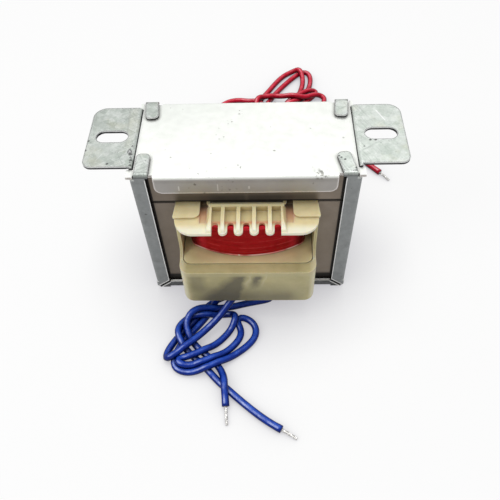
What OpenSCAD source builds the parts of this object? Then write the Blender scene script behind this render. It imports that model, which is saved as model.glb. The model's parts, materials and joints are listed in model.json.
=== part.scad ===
// Laminated mains transformer in a folded channel bracket, stood on its bridge with its feet up.
// The core is a stack of E and I sheets, interleaved round a two-chamber bobbin.
// +Z is up, +X runs to the right foot and +Y to the back. The origin is on the floor under the middle.

/* [Core] */
// Width of a lamination
core_w = 66; // [56:1:80]
// Height of the E and I sheets together
core_h = 55; // [47:1:68]
// Width of a side leg, of a yoke and of an I sheet
leg_w = 11; // [9:0.5:12.5]
// Number of sheets in the stack, an odd number so that both faces are alike
lam_count = 61; // [31:2:91]
// Thickness of one sheet
lam_t = 0.5; // [0.35:0.05:0.65]
// Varnish between two sheets
lam_gap = 0.01; // [0.005:0.005:0.03]
// Gap at the butt joint of an E and an I sheet
butt_gap = 0.3; // [0.1:0.05:0.5]

/* [Bracket] */
// Thickness of the bracket's sheet
sheet_t = 0.9; // [0.8:0.1:1.2]
// Air between the core's face and the lips
face_gap = 0.45; // [0.4:0.05:1]
// Inner radius of the folds
fold_r = 0.3; // [0.1:0.05:0.35]
// Width of the upright lips, from the wall's outer face
lip_w = 4.7; // [3.5:0.1:6]
// Height of the bridge's lips
bridge_lip_h = 3.4; // [2.5:0.1:4.2]
// Width of the cut at the mitred corners
mitre_cut = 0.5; // [0.3:0.05:0.8]
// Slope of the mitred corners from the floor
mitre_slope = 40; // [35:1:50]
// Width of the tabs that fold over the plate
tab_w = 4.1; // [3:0.1:4.6]
// Distance from the wall's outer face to a tab
tab_inset = 1.5; // [1.3:0.1:2]
// Radius of the tabs' end corners
tab_end_r = 1.5; // [0.5:0.1:2]
// Reach of the front tabs from the lip's outer face
tab_len = 9.3; // [6:0.1:12]
// Reach of the rear tabs from the lip's outer face
tab_len_rear = 8.6; // [6:0.1:12]
// Turn of the right front tab, which was folded askew
tab_skew = 11; // [0:1:14]
// Turn of the rear tabs
tab_skew_rear = 6; // [0:1:14]
// Reach of a foot from the wall's outer face
foot_len = 14.3; // [12:0.1:18]
// Width of a foot's fold along the wall
foot_w = 26.8; // [22:0.2:27.2]
// How far the left foot's front edge stands back from its fold
foot_back_left = 0.3; // [0:0.1:1]
// How far the right foot's front edge stands back from its fold
foot_back_right = 0.8; // [0:0.1:1]
// Corner radius at the foot's rear end
foot_r_rear = 4.2; // [2:0.1:5]
// Corner radius at the foot's front end
foot_r_front = 2.8; // [2:0.1:5]
// Width of the slot in a foot
slot_w = 5; // [4:0.1:6]
// Length of the slot, from end to end
slot_len = 9.8; // [8:0.1:10.5]
// Distance from the wall's outer face to the middle of the slot
slot_off = 7; // [6:0.1:8]

/* [Clamp plate] */
// Thickness of the plate
plate_t = 1; // [0.8:0.1:1.2]
// Air between the end of a plate flange and the upright lip
plate_flange_gap = 2.2; // [0.5:0.1:4]
// Depth of the plate's flanges, from the plate's top
plate_flange_h = 6.5; // [4:0.1:8]
// Corner radius of the flanges
plate_corner_r = 2.4; // [1:0.1:3.5]
// How far a front lug passes the wall's outer face
lug_out = 1; // [0.3:0.1:1.5]
// How far a rear lug passes the wall's outer face
lug_out_rear = 0.1; // [0:0.1:1.5]
// Width of a lug
lug_w = 3; // [2:0.1:3.2]

/* [Bobbin] */
// Clearance between the bobbin and the core
bobbin_clear = 0.2; // [0.1:0.05:0.3]
// Wall of the bobbin's tube
tube_wall = 1; // [0.8:0.1:1.5]
// Thickness of the flanges
flange_t = 1; // [0.9:0.1:1.5]
// How far the top flange stands out from the core's face
flange_out = 11.8; // [9:0.1:13]
// Corner radius of the top flange
flange_corner_r = 5.8; // [4:0.1:6]
// Height of the side pads above the flange
pad_h = 0.8; // [0.4:0.1:0.8]
// How far the pads stand out from the core's face
pad_out = 6; // [4:0.1:7]
// Width of a pad
pad_w = 7.6; // [6:0.1:8]
// How far the pads' ears pass the window's side
ear_out = 0.3; // [0.1:0.1:0.6]
// Height of the comb's ribs above the flange
comb_h = 2.2; // [1.2:0.1:2.6]
// Distance from the core's face to the comb's rear wall
comb_back = 2; // [1.2:0.1:3]
// Thickness of the comb's rear and side walls
comb_wall = 1; // [0.7:0.1:1.5]
// Number of wire slots in a comb
slot_count = 5; // [3:1:5]
// Distance from one wire slot to the next
slot_pitch = 4.7; // [4:0.1:4.9]
// Width of a wire slot
wire_slot_w = 2; // [1.6:0.1:2.2]
// Length of a wire slot
wire_slot_len = 4.3; // [3:0.1:5]
// Thickness of a rib between two slots
rib_w = 1.1; // [0.8:0.1:1.5]
// How far the comb's side walls flare out towards their foot
comb_flare = 0.8; // [0:0.1:1.2]
// Height of the middle flange's top above the bobbin's foot
chamber_split = 16.2; // [12:0.1:19]

/* [Shroud] */
// Clearance between the shroud and the core's side legs
shroud_clear = 0.3; // [0.3:0.05:0.6]
// Wall of the shroud
shroud_wall = 1; // [0.8:0.1:1.3]
// How far the shroud stands out from the core's face
shroud_out = 14.9; // [13.5:0.1:17]
// Radius of the shroud's upright corners
shroud_corner_r = 3.5; // [2.5:0.1:5]
// Width of the shelf round the middle flange
shelf_w = 3.6; // [2:0.1:4]
// How far the shroud's cheeks stand out from the core's face
cheek_out = 6.6; // [5:0.1:8]
// Radius of the sweep from a cheek into the shelf
cheek_sweep = 4; // [2:0.1:5]

/* [Windings] */
// Clearance between a winding and what surrounds it
coil_clear = 0.2; // [0.1:0.05:0.3]
// How far the upper winding bulges out from the core's face
primary_out = 8.6; // [6:0.1:10]
// How far the upper winding stands back from the shroud's walls beside it
primary_side = 2.2; // [0.5:0.1:4]
// How much larger the radius of a winding's bowed faces is than half its width
bow_more = 16; // [10:0.5:40]
// Corner radius of a winding
coil_corner_r = 3.5; // [2:0.1:4]
// Thickness of the tape over a winding
tape_t = 0.3; // [0.2:0.05:0.5]

/* [Leads] */
// Outer diameter of a lead
lead_d = 2.4; // [2:0.1:2.6]
// Diameter of the stripped conductor
strand_d = 0.9; // [0.6:0.1:1.2]
// Height of a wound hank
hank_h = 7.2; // [5:0.1:10]

/* [Hidden] */
$fn = 48;
eps = 0.01;

// Core
lam_pitch = lam_t + lam_gap;
stack_d = lam_count * lam_pitch - lam_gap;
face_y = stack_d / 2;
window_w = core_w / 2 - 2 * leg_w;
e_h = core_h - leg_w;
i_h = leg_w - butt_gap;
core_z0 = sheet_t;
core_z1 = core_z0 + core_h;

// Bracket and plate
out_w = core_w + 2 * sheet_t;
out_d = stack_d + 2 * face_gap + 2 * sheet_t;
lip_y = out_d / 2 - sheet_t;
plate_z1 = core_z1 + plate_t;
foot_z1 = plate_z1 + sheet_t;
outer_fold_r = fold_r + sheet_t;
plate_side_gap = 0.1;
plate_w = core_w - 2 * plate_side_gap;
plate_edge_y = lip_y - fold_r;
plate_flange_w = out_w - 2 * (lip_w + plate_flange_gap);
lug_y1 = foot_w / 2 + plate_side_gap + lug_w;
notch_y = foot_w / 2;
tab_x = out_w / 2 - tab_inset - tab_w / 2;
// where the mitre's middle line meets the floor
mitre_x = out_w / 2 - 0.5;

// Bobbin
window_z0 = core_z0 + leg_w;
window_z1 = core_z1 - leg_w;
bobbin_z0 = window_z0 + bobbin_clear;
bobbin_z1 = window_z1 - bobbin_clear;
flange_z1 = bobbin_z1 - pad_h;
flange_z0 = flange_z1 - flange_t;
mid_z1 = bobbin_z0 + chamber_split;
mid_z0 = mid_z1 - flange_t;
tube_x = leg_w + bobbin_clear;
tube_y = face_y + bobbin_clear;
flange_x = leg_w + window_w - bobbin_clear;
flange_y = face_y + flange_out;
comb_x = (slot_count - 1) / 2 * slot_pitch + wire_slot_w / 2 + comb_wall;
comb_y0 = face_y + comb_back;
pad_corner_r = 2;
ear_slant = 0.4;
web_out = 7.5;
rib_drop = 0.3;
rib_toe = 0.3;
rib_toe_h = 0.7;

// Shroud
shroud_x = leg_w + window_w - shroud_clear;
shroud_y = face_y + shroud_out;
shroud_in_x = shroud_x - shroud_wall;
shroud_in_y = shroud_y - shroud_wall;
shroud_z0 = window_z0;
shelf_step = 0.4;
shroud_z1 = mid_z1 - shelf_step;
shelf_y = shroud_y - shelf_w;
seat_gap = 0.15;
low_flange_x = shroud_in_x - seat_gap;

// Windings: the upper one bulges freely, the lower one fills the shroud up to its shelf
primary_x = shroud_in_x - primary_side;
primary_y = face_y + primary_out;
secondary_x = shroud_in_x - coil_clear;
secondary_y = shelf_y - coil_clear;

// ---------- shared shapes ----------

// Rectangle about the origin with round corners
module round_rect(w, d, r) {
    square([w - 2 * r, d], center = true);
    square([w, d - 2 * r], center = true);
    for (sx = [-1, 1], sy = [-1, 1])
        translate([sx * (w / 2 - r), sy * (d / 2 - r)]) circle(r);
}

// Both signs of X and Y
module four_ways() {
    for (sx = [0, 1], sy = [0, 1])
        mirror([sx, 0, 0]) mirror([0, sy, 0]) children();
}

// Front and back
module both_faces() {
    for (sy = [0, 1]) mirror([0, sy, 0]) children();
}

// Left and right
module both_sides() {
    for (sx = [0, 1]) mirror([sx, 0, 0]) children();
}

// Extrudes an outline drawn in Y and Z along X, about the middle
module along_x(w) {
    translate([-w / 2, 0, 0]) rotate([90, 0, 90]) linear_extrude(w) children();
}

// Extrudes an outline drawn in X and Z along Y, about the middle
module along_y(d) {
    translate([0, d / 2, 0]) rotate([90, 0, 0]) linear_extrude(d) children();
}

// Quarter of a folded sheet, about its fold's centre, from +X round to +Y
module fold_quarter(t) {
    intersection() {
        difference() {
            circle(fold_r + t);
            circle(fold_r);
        }
        square(fold_r + t + 1);
    }
}

// ---------- core ----------

module e_outline() {
    difference() {
        translate([-core_w / 2, 0]) square([core_w, e_h]);
        for (s = [-1, 1])
            translate([s * (leg_w + window_w / 2) - window_w / 2, leg_w]) square([window_w, e_h]);
    }
}

module i_outline() {
    translate([-core_w / 2, core_h - i_h]) square([core_w, i_h]);
}

// Every second sheet is turned over, so the butt joints alternate
module sheet_stack() {
    for (k = [0 : lam_count - 1])
        translate([0, -face_y + k * lam_pitch + lam_t / 2, core_z0])
            along_y(lam_t)
                translate([0, k % 2 == 0 ? 0 : core_h])
                    mirror([0, k % 2])
                        children();
}

module e_laminations() {
    color("dimgray") sheet_stack() e_outline();
}

module i_laminations() {
    color("gray") sheet_stack() i_outline();
}

// ---------- bracket ----------

// Walls with their upright lips
module bracket_walls() {
    linear_extrude(plate_z1)
        difference() {
            round_rect(out_w, out_d, outer_fold_r);
            round_rect(core_w, 2 * lip_y, fold_r);
            square([out_w - 2 * lip_w, out_d + 1], center = true);
        }
}

// Bridge on the floor with its two low lips
module bracket_bridge() {
    along_x(out_w)
        intersection() {
            translate([0, core_h / 2])
                difference() {
                    round_rect(out_d, core_h, outer_fold_r);
                    round_rect(2 * lip_y, core_h - 2 * sheet_t, fold_r);
                }
            translate([-out_d / 2, 0]) square([out_d, bridge_lip_h]);
        }
}

// Slanting cut between a bridge lip and an upright lip
module mitre_slot() {
    l = 2 * lip_w;
    four_ways()
        translate([mitre_x, lip_y - eps, 0])
            rotate([0, mitre_slope, 0])
                translate([-l, 0, -mitre_cut / 2]) cube([l + 1, sheet_t + 1, mitre_cut]);
}

// The front edge stands back by the given amount
module foot_plan(back) {
    x0 = out_w / 2 + fold_r;
    x1 = out_w / 2 + foot_len;
    y0 = -foot_w / 2 + back;
    y1 = foot_w / 2;
    rr = foot_r_rear;
    rf = foot_r_front;
    difference() {
        translate([x0, y0]) square([x1 - x0, y1 - y0]);
        translate([x1 - rr, y1 - rr]) square(rr + 1);
        translate([x1 - rf, y0 - 1]) square([rf + 1, rf + 1]);
    }
    translate([x1 - rr, y1 - rr]) circle(rr);
    translate([x1 - rf, y0 + rf]) circle(rf);
}

module foot_slot() {
    r = slot_w / 2;
    translate([out_w / 2 + slot_off, 0, plate_z1 - 1]) {
        for (s = [-1, 1])
            translate([s * (slot_len / 2 - r), 0, 0]) cylinder(r = r, h = sheet_t + 2);
        translate([-slot_len / 2 + r, -r, 0]) cube([slot_len - slot_w, slot_w, sheet_t + 2]);
    }
}

// Foot folded out from the middle of the wall's top
module foot(back) {
    difference() {
        translate([0, 0, plate_z1]) linear_extrude(sheet_t) foot_plan(back);
        foot_slot();
    }
    along_y(foot_w)
        translate([out_w / 2 + fold_r, plate_z1 - fold_r])
            mirror([1, 0]) fold_quarter(sheet_t);
}

// Tab folded in over the plate from an upright lip, turned by an angle about its root
module tab(reach, turn) {
    l = reach - outer_fold_r;
    translate([tab_x, 0, 0]) {
        along_x(tab_w)
            translate([lip_y - fold_r, plate_z1 - fold_r]) fold_quarter(sheet_t);
        translate([0, lip_y - fold_r, plate_z1])
            rotate([0, 0, turn])
                linear_extrude(sheet_t) {
                    translate([-tab_w / 2, tab_end_r - l]) square([tab_w, l - tab_end_r]);
                    translate([0, -l / 2]) round_rect(tab_w, l, tab_end_r);
                }
    }
}

module bracket() {
    color("lightgray") {
        difference() {
            intersection() {
                union() {
                    bracket_walls();
                    bracket_bridge();
                }
                along_y(out_d + 2)
                    translate([0, plate_z1 / 2 + 5]) round_rect(out_w, plate_z1 + 10, outer_fold_r);
            }
            mitre_slot();
            // wall tops are lower beside the feet, where the plate's lugs lie
            four_ways()
                translate([tab_x + tab_w / 2, notch_y, core_z1])
                    cube([out_w, out_d, plate_t + 1]);
            // the lips end where their tabs begin
            four_ways()
                translate([0, lip_y - 1, plate_z1 - fold_r])
                    cube([out_w, sheet_t + 2, plate_t + 1]);
            // upright lips beside the tabs are cut down
            four_ways()
                translate([0, lip_y - eps, core_z1])
                    cube([tab_x - tab_w / 2, sheet_t + 1, plate_t + 1]);
            // and so are the walls' tops, where the feet fold out
            both_sides()
                translate([core_w / 2 - 1, -notch_y - eps, plate_z1 - fold_r])
                    cube([sheet_t + 2, foot_w + 2 * eps, 2]);
        }
        foot(foot_back_right);
        mirror([1, 0, 0]) foot(foot_back_left);
        both_sides() tab(tab_len_rear, -tab_skew_rear);
        mirror([0, 1, 0]) tab(tab_len, -tab_skew);
        mirror([1, 0, 0]) mirror([0, 1, 0]) tab(tab_len, 0);
    }
}

// ---------- clamp plate ----------

module plate_flange() {
    intersection() {
        along_x(plate_flange_w) {
            translate([lip_y - fold_r, core_z1 - fold_r]) fold_quarter(plate_t);
            translate([lip_y, plate_z1 - plate_flange_h])
                square([plate_t, plate_flange_h - plate_t - fold_r]);
        }
        along_y(2 * out_d)
            translate([0, plate_z1])
                intersection() {
                    round_rect(plate_flange_w, 2 * plate_flange_h, plate_corner_r);
                    translate([-plate_flange_w, -plate_flange_h * 2])
                        square([2 * plate_flange_w, 2 * plate_flange_h]);
                }
    }
}

// Lug in the notch beside a foot, reaching past the wall by the given amount
module lug(out) {
    translate([plate_w / 2 - eps, lug_y1 - lug_w])
        square([out_w / 2 + out - plate_w / 2 + eps, lug_w]);
}

module clamp_plate() {
    color("white") {
        translate([0, 0, core_z1])
            linear_extrude(plate_t) {
                square([plate_w, 2 * plate_edge_y], center = true);
                both_sides() {
                    lug(lug_out_rear);
                    mirror([0, 1]) lug(lug_out);
                }
            }
        both_faces() plate_flange();
    }
}

// ---------- bobbin ----------

// Outline of the slots that open at the front of a flange
module wire_slots(y1) {
    r = wire_slot_w / 2;
    for (k = [0 : slot_count - 1])
        translate([(k - (slot_count - 1) / 2) * slot_pitch, y1 - wire_slot_len]) {
            translate([0, r]) circle(r);
            translate([-r, r]) square([wire_slot_w, wire_slot_len]);
        }
}

// Round tips of the teeth between the slots
module tooth_tips(y1) {
    w = slot_pitch - wire_slot_w;
    for (k = [1 : slot_count - 1])
        translate([(k - slot_count / 2) * slot_pitch, y1 - w / 2])
            difference() {
                translate([-w / 2 - eps, 0]) square([w + 2 * eps, w]);
                circle(w / 2);
            }
}

module top_flange_plan() {
    round_rect(2 * flange_x, 2 * flange_y, flange_corner_r);
}

// Raised pad beside the comb, with an ear that passes the window's side
module pad_plan() {
    r = pad_corner_r;
    y0 = face_y + bobbin_clear;
    y1 = face_y + pad_out;
    x0 = flange_x - pad_w;
    difference() {
        polygon([[x0, y0], [flange_x, y0], [flange_x + bobbin_clear + ear_out, y1 - ear_slant],
            [flange_x, y1], [x0, y1]]);
        translate([x0 - 1, y1 - r]) square(r + 1);
    }
    translate([x0 + r, y1 - r]) circle(r);
}

// Side view of a rib: it falls towards the front of the flange
module rib_outline() {
    z0 = flange_z1 - eps;
    z1 = flange_z1 + comb_h;
    polygon([[comb_y0, z0], [comb_y0, z1], [flange_y - wire_slot_len, z1 - rib_drop],
        [flange_y - rib_toe - rib_w / 2, flange_z1 + rib_toe_h], [flange_y - rib_toe, z0]]);
}

// Ribs, side walls and rear wall that stand up round the wire slots
module comb() {
    for (k = [1 : slot_count - 1])
        translate([(k - slot_count / 2) * slot_pitch, 0, 0]) along_x(rib_w) rib_outline();
    // the side walls lean, so they are wider at their foot
    both_sides()
        intersection() {
            along_x(4 * comb_x) rib_outline();
            along_y(2 * flange_y + 1)
                polygon([[comb_x - comb_wall, flange_z1 - 2 * eps],
                    [comb_x - comb_wall, flange_z1 + comb_h + eps],
                    [comb_x - comb_wall / 2, flange_z1 + comb_h + eps],
                    [comb_x + comb_flare, flange_z1 - 2 * eps]]);
        }
    translate([-comb_x, comb_y0, flange_z1 - eps]) cube([2 * comb_x, comb_wall, comb_h + eps]);
}

module bobbin_top_end() {
    difference() {
        translate([0, 0, flange_z0])
            linear_extrude(flange_t)
                difference() {
                    top_flange_plan();
                    both_faces() {
                        wire_slots(flange_y);
                        tooth_tips(flange_y);
                    }
                }
        // thin webs between the pads and the comb
        four_ways()
            translate([comb_x, face_y + bobbin_clear, flange_z1 - flange_t / 2])
                cube([flange_x - pad_w - comb_x, web_out, flange_t]);
    }
    four_ways()
        translate([0, 0, flange_z1 - eps]) linear_extrude(pad_h + eps) pad_plan();
    // seat of the pads inside the window
    both_sides()
        translate([flange_x - pad_w, -face_y - 2 * bobbin_clear, flange_z1 - eps])
            cube([pad_w, stack_d + 4 * bobbin_clear, pad_h + eps]);
    both_faces() comb();
}

module bobbin() {
    color("wheat")
        difference() {
            union() {
                translate([0, 0, bobbin_z0])
                    linear_extrude(bobbin_z1 - bobbin_z0)
                        round_rect(2 * (tube_x + tube_wall), 2 * (tube_y + tube_wall), 1);
                bobbin_top_end();
                translate([0, 0, mid_z0])
                    linear_extrude(flange_t)
                        round_rect(2 * low_flange_x, 2 * (shelf_y - seat_gap), shroud_corner_r - shroud_wall);
                translate([0, 0, bobbin_z0])
                    linear_extrude(flange_t)
                        difference() {
                            round_rect(2 * low_flange_x, 2 * (shroud_in_y - seat_gap),
                                shroud_corner_r - shroud_wall);
                            both_faces() wire_slots(shroud_in_y);
                        }
            }
            translate([0, 0, bobbin_z0 - 1])
                linear_extrude(bobbin_z1 - bobbin_z0 + 2)
                    square([2 * tube_x, 2 * tube_y], center = true);
        }
}

// ---------- shroud ----------

// Side cheek in Y and Z: it sweeps in from the shelf and rises to the top flange
module cheek_outline() {
    y1 = face_y + cheek_out;
    z1 = flange_z0 - bobbin_clear;
    r = cheek_sweep;
    for (s = [0, 1])
        mirror([s, 0]) {
            translate([-eps, shroud_z1 - eps]) square([y1 + eps, z1 - shroud_z1 + eps]);
            difference() {
                translate([y1 - eps, shroud_z1 - eps]) square([r + eps, r + eps]);
                translate([y1 + r, shroud_z1 + r]) circle(r);
            }
        }
}

module shroud() {
    r_in = shroud_corner_r - shroud_wall;
    color("tan") {
        difference() {
            translate([0, 0, shroud_z0])
                linear_extrude(shroud_z1 - shroud_z0)
                    round_rect(2 * shroud_x, 2 * shroud_y, shroud_corner_r);
            translate([0, 0, shroud_z0 - 1])
                linear_extrude(shroud_z1 - shroud_wall - shroud_z0 + 1)
                    round_rect(2 * shroud_in_x, 2 * shroud_in_y, r_in);
            translate([0, 0, shroud_z0])
                linear_extrude(shroud_z1 - shroud_z0 + 1)
                    round_rect(2 * shroud_in_x, 2 * shelf_y, r_in);
        }
        both_sides()
            translate([shroud_x - shroud_wall / 2, 0, 0]) along_x(shroud_wall) cheek_outline();
    }
}

// ---------- windings ----------

// Plan of a winding: straight sides, bowed front and back, round corners
module bowed_plan(hw, hd, inset) {
    w = hw - inset;
    d = hd - inset;
    rb = hw + bow_more - inset;
    rc = coil_corner_r - inset;
    yc = sqrt(pow(rb - rc, 2) - pow(w - rc, 2)) - (rb - d);
    xt = (w - rc) * rb / (rb - rc);
    square([2 * w, 2 * yc], center = true);
    for (sx = [-1, 1], sy = [-1, 1])
        translate([sx * (w - rc), sy * yc]) circle(rc);
    intersection() {
        translate([0, rb - d]) circle(rb, $fn = 96);
        translate([0, d - rb]) circle(rb, $fn = 96);
        square([2 * xt, 4 * d], center = true);
    }
}

module winding(z0, z1, hw, y1) {
    translate([0, 0, z0 + coil_clear])
        linear_extrude(z1 - z0 - 2 * coil_clear)
            difference() {
                bowed_plan(hw, y1, tape_t);
                round_rect(2 * (tube_x + tube_wall), 2 * (tube_y + tube_wall), 1);
            }
}

module tape(z0, z1, hw, y1) {
    translate([0, 0, z0 + coil_clear])
        linear_extrude(z1 - z0 - 2 * coil_clear)
            difference() {
                bowed_plan(hw, y1, 0);
                bowed_plan(hw, y1, tape_t);
            }
}

module primary_winding() {
    color("peru") winding(mid_z1, flange_z0, primary_x, primary_y);
}

module primary_tape() {
    color("firebrick") tape(mid_z1, flange_z0, primary_x, primary_y);
}

module secondary_winding() {
    color("peru") winding(bobbin_z0 + flange_t, mid_z0, secondary_x, secondary_y);
}

module secondary_tape() {
    color("khaki") tape(bobbin_z0 + flange_t, mid_z0, secondary_x, secondary_y);
}

// ---------- leads ----------

// Routes of the leads, each from its exit to its hank or from its hank to its end
blue_lead_a_route = [[-9.4, -25.6, 12], [-9.4, -25.6, 9], [-9.5, -25.9, 6.6], [-9.6, -26.9, 4.8],
    [-9.6, -27.8, 3.9], [-9.4, -28.7, 3.9]];
blue_lead_b_route = [[-4.7, -25.6, 12], [-4.7, -25.6, 9], [-4.7, -25.8, 6.6], [-4.7, -26.7, 4.8],
    [-4.8, -27.6, 3.9], [-4.9, -28.4, 3.9]];
blue_tail_a_route = [[-9.2, -50.7, 4.2], [-8.3, -53.4, 4.2], [-7.9, -56.4, 4.1], [-7.8, -58.2, 3.7],
    [-7.7, -59.4, 2.8], [-7.6, -60.6, 1.7], [-7.5, -61.8, 1.3], [-7.4, -63, 1.3]];
blue_tail_b_route = [[-13, -52.3, 1.3], [-11.6, -54.3, 1.3], [-8.8, -56, 1.3], [-5, -59.2, 1.3],
    [-1, -63, 1.3], [4, -67, 1.3], [10, -70, 1.3]];
red_lead_a_route = [[4.7, 27.6, 43.4], [4.7, 31, 43], [4.8, 36, 40], [5, 40, 35], [5.2, 42.5, 28],
    [5.4, 44, 20], [5.6, 46, 12], [6, 49.5, 5.4], [6.4, 55, 1.9], [7, 61, 1.3], [7.6, 67, 1.3],
    [7.9, 71, 1.3], [8, 74.5, 1.3]];
red_lead_b_route = [[9.4, 27.6, 43.4], [9.4, 31, 43], [9.6, 36, 40], [10, 40, 35], [10.5, 42.5, 28],
    [11, 44, 20], [11.5, 46, 12], [12, 49.5, 5.4], [12.6, 55, 1.9], [13.6, 61, 1.3], [14.6, 67, 1.3],
    [14.4, 72, 1.3], [13, 75.6, 1.3]];
red_tail_a_route = [[24, 85.8, 1.3], [26.6, 83, 1.3], [29.5, 78, 1.3], [33, 70.5, 1.3],
    [37, 62.5, 1.3], [41.5, 55, 1.3], [46, 48.4, 1.3], [50, 43.5, 1.3], [54, 39, 1.3]];
red_tail_b_route = [[-4.5, 86.6, 1.3], [-8, 86, 1.3], [-12, 84, 1.3], [-16, 79.5, 1.3],
    [-19.5, 73, 1.3], [-21.5, 66.5, 1.3], [-22, 60, 1.3]];
lead_sides = 8;

function unit(v) = v / norm(v);

function tangent(route, i) =
    unit(route[min(i + 1, len(route) - 1)] - route[max(i - 1, 0)]);

// A direction across the route that turns with it as little as it can
function across(route, i) =
    let (t = tangent(route, i))
    i == 0
        ? unit(cross(t, abs(t.z) > 0.7 ? [0, 1, 0] : [0, 0, 1]))
        : let (n = across(route, i - 1)) unit(n - (n * t) * t);

function ring(route, i, r) =
    let (n = across(route, i), b = cross(tangent(route, i), n))
    [for (k = [0 : lead_sides - 1])
        let (a = (k + 0.5) * 360 / lead_sides) route[i] + r * (cos(a) * n + sin(a) * b)];

module swept(route, r) {
    last = len(route) - 1;
    points = [for (i = [0 : last]) each ring(route, i, r)];
    sides = [for (i = [0 : last - 1], k = [0 : lead_sides - 1])
        let (a = i * lead_sides + k, b = i * lead_sides + (k + 1) % lead_sides)
        each [[a, a + lead_sides, b], [b, a + lead_sides, b + lead_sides]]];
    ends = [[for (k = [0 : lead_sides - 1]) k],
        [for (k = [lead_sides - 1 : -1 : 0]) last * lead_sides + k]];
    polyhedron(points, concat(sides, ends));
}

// Stripped conductor, straight on from the end of a tail
module stripped(route, l) {
    n = len(route) - 1;
    dir = unit(route[n] - route[n - 1]);
    translate(route[n])
        rotate([0, acos(dir.z), atan2(dir.y, dir.x)])
            cylinder(d = strand_d, h = l);
}

// Wound hank: an outline with round ends, lying on the floor
module hank(centre, half_l, half_w, turn) {
    translate(centre)
        rotate([0, 0, turn])
            linear_extrude(hank_h) {
                square([2 * (half_l - half_w), 2 * half_w], center = true);
                for (s = [-1, 1]) translate([s * (half_l - half_w), 0]) circle(half_w);
            }
}

module blue_lead_a() { color("royalblue") swept(blue_lead_a_route, lead_d / 2); }
module blue_lead_b() { color("royalblue") swept(blue_lead_b_route, lead_d / 2); }
module blue_hank() { color("mediumblue") hank([-13, -41.2, 0], 17, 10, 22); }
module blue_tail_a() { color("royalblue") swept(blue_tail_a_route, lead_d / 2); }
module blue_tail_b() { color("royalblue") swept(blue_tail_b_route, lead_d / 2); }
module blue_end_a() { color("gainsboro") stripped(blue_tail_a_route, 6); }
module blue_end_b() { color("gainsboro") stripped(blue_tail_b_route, 5.4); }
module red_lead_a() { color("crimson") swept(red_lead_a_route, lead_d / 2); }
module red_lead_b() { color("crimson") swept(red_lead_b_route, lead_d / 2); }
module red_hank() { color("firebrick") hank([14, 93, 0], 21, 12, 45); }
module red_tail_a() { color("crimson") swept(red_tail_a_route, lead_d / 2); }
module red_tail_b() { color("crimson") swept(red_tail_b_route, lead_d / 2); }
module red_end_a() { color("gainsboro") stripped(red_tail_a_route, 5.2); }
module red_end_b() { color("gainsboro") stripped(red_tail_b_route, 5.2); }

bracket();
clamp_plate();
e_laminations();
i_laminations();
bobbin();
shroud();
primary_winding();
primary_tape();
secondary_winding();
secondary_tape();
blue_lead_a();
blue_lead_b();
blue_hank();
blue_tail_a();
blue_tail_b();
blue_end_a();
blue_end_b();
red_lead_a();
red_lead_b();
red_hank();
red_tail_a();
red_tail_b();
red_end_a();
red_end_b();
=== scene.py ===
import json
import math
import bpy
import numpy as np
from mathutils import Matrix, Vector

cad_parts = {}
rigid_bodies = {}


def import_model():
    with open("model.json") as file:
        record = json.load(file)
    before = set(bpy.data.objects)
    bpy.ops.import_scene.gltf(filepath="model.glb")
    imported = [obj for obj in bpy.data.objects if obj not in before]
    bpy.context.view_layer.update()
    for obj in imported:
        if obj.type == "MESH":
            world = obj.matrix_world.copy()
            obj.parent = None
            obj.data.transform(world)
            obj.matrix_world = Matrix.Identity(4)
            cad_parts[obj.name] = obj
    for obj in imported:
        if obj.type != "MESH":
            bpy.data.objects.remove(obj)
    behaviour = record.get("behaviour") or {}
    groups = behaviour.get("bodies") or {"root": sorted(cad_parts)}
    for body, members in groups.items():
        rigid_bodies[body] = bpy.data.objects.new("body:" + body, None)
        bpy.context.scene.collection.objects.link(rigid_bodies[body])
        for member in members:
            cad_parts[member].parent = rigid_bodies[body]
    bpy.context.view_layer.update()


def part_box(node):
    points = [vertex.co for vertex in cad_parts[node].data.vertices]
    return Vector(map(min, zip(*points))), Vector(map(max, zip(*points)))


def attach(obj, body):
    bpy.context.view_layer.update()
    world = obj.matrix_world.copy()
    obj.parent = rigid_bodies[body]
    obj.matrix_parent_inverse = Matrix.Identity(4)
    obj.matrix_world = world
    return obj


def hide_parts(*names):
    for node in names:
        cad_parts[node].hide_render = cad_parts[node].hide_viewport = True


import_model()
MM = 0.001
scene = bpy.context.scene

# ---------- camera ----------

CAMERA_PLACE = (5.53, -132.78, 176.15)
CAMERA_YAW = -2.5
CAMERA_PITCH = 53.04
CAMERA_ROLL = -2.51


def aim(place, yaw, pitch, roll):
    """A camera matrix from a place in millimetres and three angles in degrees."""
    y, p, r = (math.radians(angle) for angle in (yaw, pitch, roll))
    forward = Vector((math.sin(y) * math.cos(p), math.cos(y) * math.cos(p), -math.sin(p)))
    level = Vector((math.cos(y), -math.sin(y), 0))
    above = level.cross(forward)
    right = math.cos(r) * level + math.sin(r) * above
    up = -math.sin(r) * level + math.cos(r) * above
    turned = Matrix((right, up, -forward)).transposed().to_4x4()
    return Matrix.Translation(Vector(place) * MM) @ turned


camera = bpy.data.objects.new("camera", bpy.data.cameras.new("camera"))
scene.collection.objects.link(camera)
camera.matrix_world = aim(CAMERA_PLACE, CAMERA_YAW, CAMERA_PITCH, CAMERA_ROLL)
camera.data.sensor_width = 36
camera.data.lens = 41.356
camera.data.clip_start = 0.01
scene.camera = camera

# ---------- the leads' routes ----------

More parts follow.
